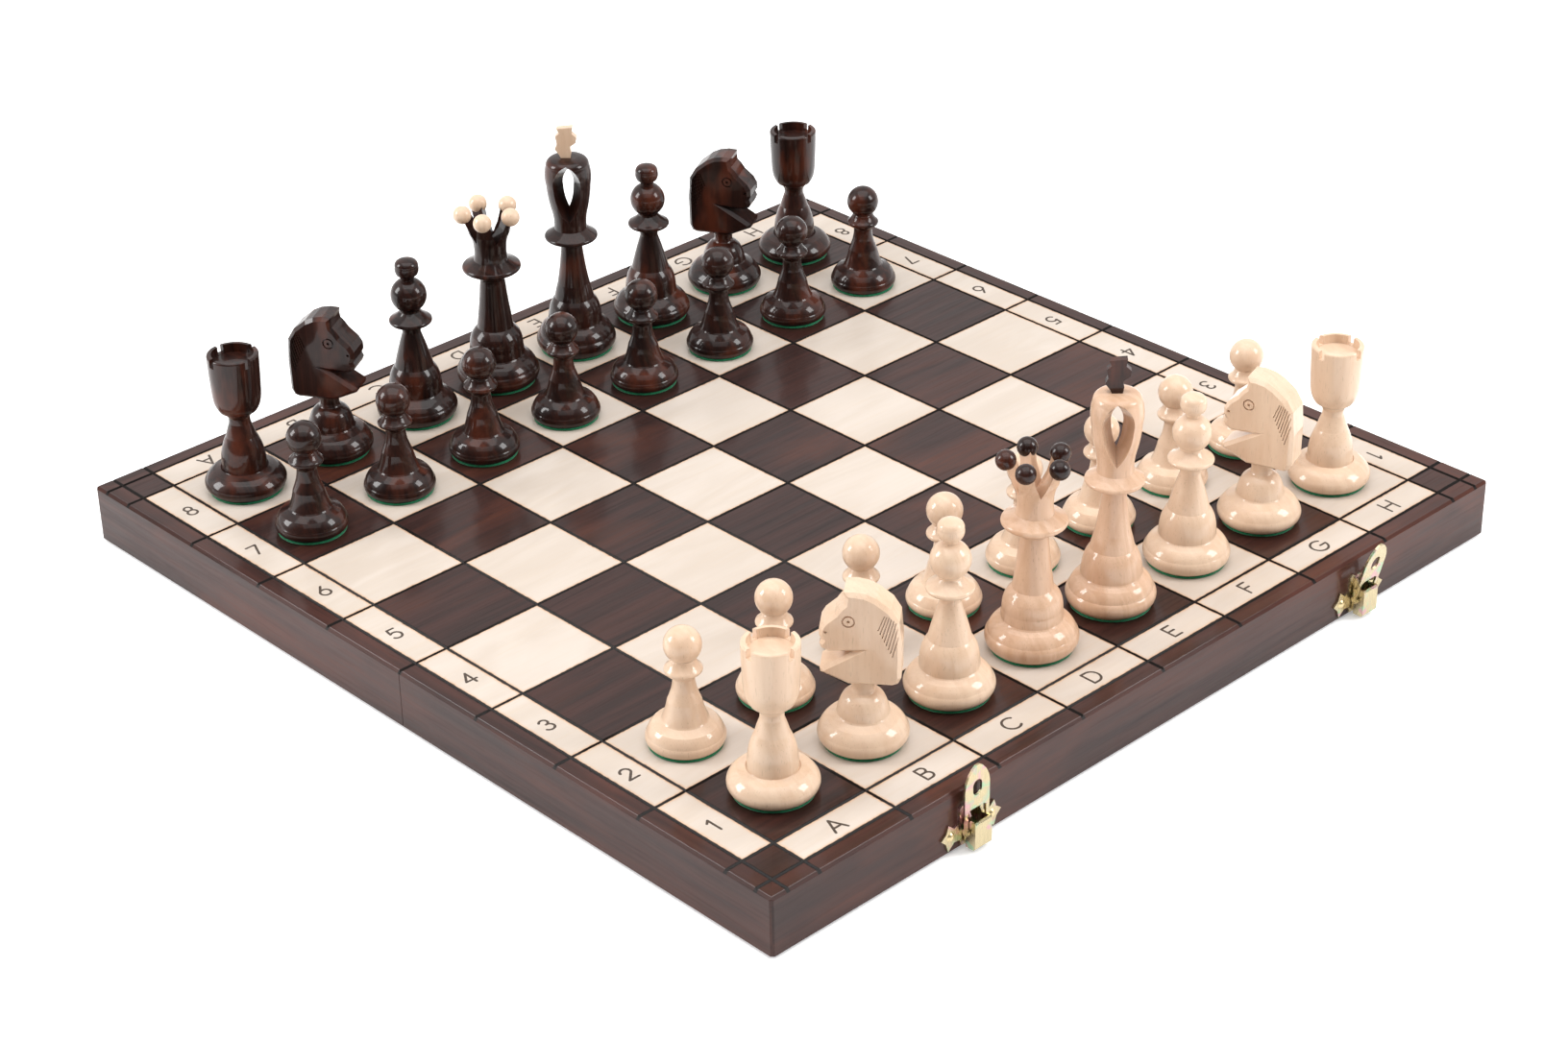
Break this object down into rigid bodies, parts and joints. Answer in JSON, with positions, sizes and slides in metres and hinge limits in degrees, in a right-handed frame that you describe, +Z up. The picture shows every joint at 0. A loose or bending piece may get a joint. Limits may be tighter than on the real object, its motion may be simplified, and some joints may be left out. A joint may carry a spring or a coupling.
{
  "type": "chess set with board",
  "caption": "Turned wooden chess pieces set up on a folding checkered board box with draw clasps, butt hinges and burnt edge labels.",
  "frame": {"origin": "middle of the open board, on the ground under the hinge knuckles", "axes": "+X along the files from a to h, +Y along the ranks from 1 to 8, +Z up"},
  "size_m": [0.42, 0.4352, 0.1364],
  "materials": {
    "pale_wood": "glossy varnish over pale hardwood",
    "dark_wood": "glossy varnish over dark brown stain",
    "stained_wood": "semi-gloss mahogany stain",
    "light_veneer": "semi-gloss varnish over pale wood",
    "green_felt": "matte felt",
    "hinge_steel": "brass plated steel",
    "zinc_steel": "yellow iridescent zinc plating"
  },
  "bodies": {
    "white_half": {"panel_white": "stained_wood", "veneer_white": "light_veneer", "lining_white": "green_felt", "front_rail_white": "stained_wood", "side_rails_white": "stained_wood", "hinge_rail_white": "stained_wood", "hinge_leaves_white": "hinge_steel", "hinge_pins": "hinge_steel", "nails_white": "hinge_steel", "clasp_plates": "zinc_steel"},
    "black_half": {"panel_black": "stained_wood", "veneer_black": "light_veneer", "lining_black": "green_felt", "front_rail_black": "stained_wood", "side_rails_black": "stained_wood", "hinge_rail_black": "stained_wood", "hinge_leaves_black": "hinge_steel", "nails_black": "hinge_steel", "catch_plates": "zinc_steel"},
    "lever_left": {"lever_left": "zinc_steel"},
    "tongue_left": {"tongue_left": "zinc_steel"},
    "lever_right": {"lever_right": "zinc_steel"},
    "tongue_right": {"tongue_right": "zinc_steel"},
    "pawn_white_a": {"pawn_white_a": "pale_wood"},
    "rook_white_a": {"rook_white_a": "pale_wood"},
    "pawn_white_b": {"pawn_white_b": "pale_wood"},
    "knight_white_b": {"knight_white_b": "pale_wood"},
    "pawn_white_c": {"pawn_white_c": "pale_wood"},
    "bishop_white_c": {"bishop_white_c": "pale_wood"},
    "pawn_white_d": {"pawn_white_d": "pale_wood"},
    "queen_white": {"queen_white": "pale_wood", "queen_white_balls": "dark_wood"},
    "pawn_white_e": {"pawn_white_e": "pale_wood"},
    "king_white": {"king_white": "pale_wood", "king_white_finial": "dark_wood"},
    "pawn_white_f": {"pawn_white_f": "pale_wood"},
    "bishop_white_f": {"bishop_white_f": "pale_wood"},
    "pawn_white_g": {"pawn_white_g": "pale_wood"},
    "knight_white_g": {"knight_white_g": "pale_wood"},
    "pawn_white_h": {"pawn_white_h": "pale_wood"},
    "rook_white_h": {"rook_white_h": "pale_wood"},
    "pawn_black_a": {"pawn_black_a": "dark_wood"},
    "rook_black_a": {"rook_black_a": "dark_wood"},
    "pawn_black_b": {"pawn_black_b": "dark_wood"},
    "knight_black_b": {"knight_black_b": "dark_wood"},
    "pawn_black_c": {"pawn_black_c": "dark_wood"},
    "bishop_black_c": {"bishop_black_c": "dark_wood"},
    "pawn_black_d": {"pawn_black_d": "dark_wood"},
    "queen_black": {"queen_black": "dark_wood", "queen_black_balls": "pale_wood"},
    "pawn_black_e": {"pawn_black_e": "dark_wood"},
    "king_black": {"king_black": "dark_wood", "king_black_finial": "pale_wood"},
    "pawn_black_f": {"pawn_black_f": "dark_wood"},
    "bishop_black_f": {"bishop_black_f": "dark_wood"},
    "pawn_black_g": {"pawn_black_g": "dark_wood"},
    "knight_black_g": {"knight_black_g": "dark_wood"},
    "pawn_black_h": {"pawn_black_h": "dark_wood"},
    "rook_black_h": {"rook_black_h": "dark_wood"}
  },
  "joints": [
    {"name": "fold", "type": "hinge", "parent": "white_half", "child": "black_half", "pos_m": [0, 0, 0.0013], "axis": [-1, 0, 0], "range_deg": [0, 180]},
    {"name": "lever_left_swing", "type": "hinge", "parent": "white_half", "child": "lever_left", "pos_m": [-0.109, -0.2144, 0.00405], "axis": [-1, 0, 0], "range_deg": [-75, 0]},
    {"name": "tongue_left_swing", "type": "hinge", "parent": "lever_left", "child": "tongue_left", "pos_m": [-0.109, -0.2132, 0.00905], "axis": [1, 0, 0], "range_deg": [0, 180]},
    {"name": "lever_right_swing", "type": "hinge", "parent": "white_half", "child": "lever_right", "pos_m": [0.122, -0.2144, 0.00405], "axis": [-1, 0, 0], "range_deg": [-75, 0]},
    {"name": "tongue_right_swing", "type": "hinge", "parent": "lever_right", "child": "tongue_right", "pos_m": [0.122, -0.2132, 0.00905], "axis": [1, 0, 0], "range_deg": [-14, 166]},
    {"name": "lift_pawn_white_a", "type": "slide", "parent": "white_half", "child": "pawn_white_a", "axis": [0, 0, 1], "range_m": [0, 0.125]},
    {"name": "lift_rook_white_a", "type": "slide", "parent": "white_half", "child": "rook_white_a", "axis": [0, 0, 1], "range_m": [0, 0.125]},
    {"name": "lift_pawn_white_b", "type": "slide", "parent": "white_half", "child": "pawn_white_b", "axis": [0, 0, 1], "range_m": [0, 0.125]},
    {"name": "lift_knight_white_b", "type": "slide", "parent": "white_half", "child": "knight_white_b", "axis": [0, 0, 1], "range_m": [0, 0.125]},
    {"name": "lift_pawn_white_c", "type": "slide", "parent": "white_half", "child": "pawn_white_c", "axis": [0, 0, 1], "range_m": [0, 0.125]},
    {"name": "lift_bishop_white_c", "type": "slide", "parent": "white_half", "child": "bishop_white_c", "axis": [0, 0, 1], "range_m": [0, 0.125]},
    {"name": "lift_pawn_white_d", "type": "slide", "parent": "white_half", "child": "pawn_white_d", "axis": [0, 0, 1], "range_m": [0, 0.125]},
    {"name": "lift_queen_white", "type": "slide", "parent": "white_half", "child": "queen_white", "axis": [0, 0, 1], "range_m": [0, 0.125]},
    {"name": "lift_pawn_white_e", "type": "slide", "parent": "white_half", "child": "pawn_white_e", "axis": [0, 0, 1], "range_m": [0, 0.125]},
    {"name": "lift_king_white", "type": "slide", "parent": "white_half", "child": "king_white", "axis": [0, 0, 1], "range_m": [0, 0.125]},
    {"name": "lift_pawn_white_f", "type": "slide", "parent": "white_half", "child": "pawn_white_f", "axis": [0, 0, 1], "range_m": [0, 0.125]},
    {"name": "lift_bishop_white_f", "type": "slide", "parent": "white_half", "child": "bishop_white_f", "axis": [0, 0, 1], "range_m": [0, 0.125]},
    {"name": "lift_pawn_white_g", "type": "slide", "parent": "white_half", "child": "pawn_white_g", "axis": [0, 0, 1], "range_m": [0, 0.125]},
    {"name": "lift_knight_white_g", "type": "slide", "parent": "white_half", "child": "knight_white_g", "axis": [0, 0, 1], "range_m": [0, 0.125]},
    {"name": "lift_pawn_white_h", "type": "slide", "parent": "white_half", "child": "pawn_white_h", "axis": [0, 0, 1], "range_m": [0, 0.125]},
    {"name": "lift_rook_white_h", "type": "slide", "parent": "white_half", "child": "rook_white_h", "axis": [0, 0, 1], "range_m": [0, 0.125]},
    {"name": "lift_pawn_black_a", "type": "slide", "parent": "black_half", "child": "pawn_black_a", "axis": [0, 0, 1], "range_m": [0, 0.125]},
    {"name": "lift_rook_black_a", "type": "slide", "parent": "black_half", "child": "rook_black_a", "axis": [0, 0, 1], "range_m": [0, 0.125]},
    {"name": "lift_pawn_black_b", "type": "slide", "parent": "black_half", "child": "pawn_black_b", "axis": [0, 0, 1], "range_m": [0, 0.125]},
    {"name": "lift_knight_black_b", "type": "slide", "parent": "black_half", "child": "knight_black_b", "axis": [0, 0, 1], "range_m": [0, 0.125]},
    {"name": "lift_pawn_black_c", "type": "slide", "parent": "black_half", "child": "pawn_black_c", "axis": [0, 0, 1], "range_m": [0, 0.125]},
    {"name": "lift_bishop_black_c", "type": "slide", "parent": "black_half", "child": "bishop_black_c", "axis": [0, 0, 1], "range_m": [0, 0.125]},
    {"name": "lift_pawn_black_d", "type": "slide", "parent": "black_half", "child": "pawn_black_d", "axis": [0, 0, 1], "range_m": [0, 0.125]},
    {"name": "lift_queen_black", "type": "slide", "parent": "black_half", "child": "queen_black", "axis": [0, 0, 1], "range_m": [0, 0.125]},
    {"name": "lift_pawn_black_e", "type": "slide", "parent": "black_half", "child": "pawn_black_e", "axis": [0, 0, 1], "range_m": [0, 0.125]},
    {"name": "lift_king_black", "type": "slide", "parent": "black_half", "child": "king_black", "axis": [0, 0, 1], "range_m": [0, 0.125]},
    {"name": "lift_pawn_black_f", "type": "slide", "parent": "black_half", "child": "pawn_black_f", "axis": [0, 0, 1], "range_m": [0, 0.125]},
    {"name": "lift_bishop_black_f", "type": "slide", "parent": "black_half", "child": "bishop_black_f", "axis": [0, 0, 1], "range_m": [0, 0.125]},
    {"name": "lift_pawn_black_g", "type": "slide", "parent": "black_half", "child": "pawn_black_g", "axis": [0, 0, 1], "range_m": [0, 0.125]},
    {"name": "lift_knight_black_g", "type": "slide", "parent": "black_half", "child": "knight_black_g", "axis": [0, 0, 1], "range_m": [0, 0.125]},
    {"name": "lift_pawn_black_h", "type": "slide", "parent": "black_half", "child": "pawn_black_h", "axis": [0, 0, 1], "range_m": [0, 0.125]},
    {"name": "lift_rook_black_h", "type": "slide", "parent": "black_half", "child": "rook_black_h", "axis": [0, 0, 1], "range_m": [0, 0.125]}
  ]
}
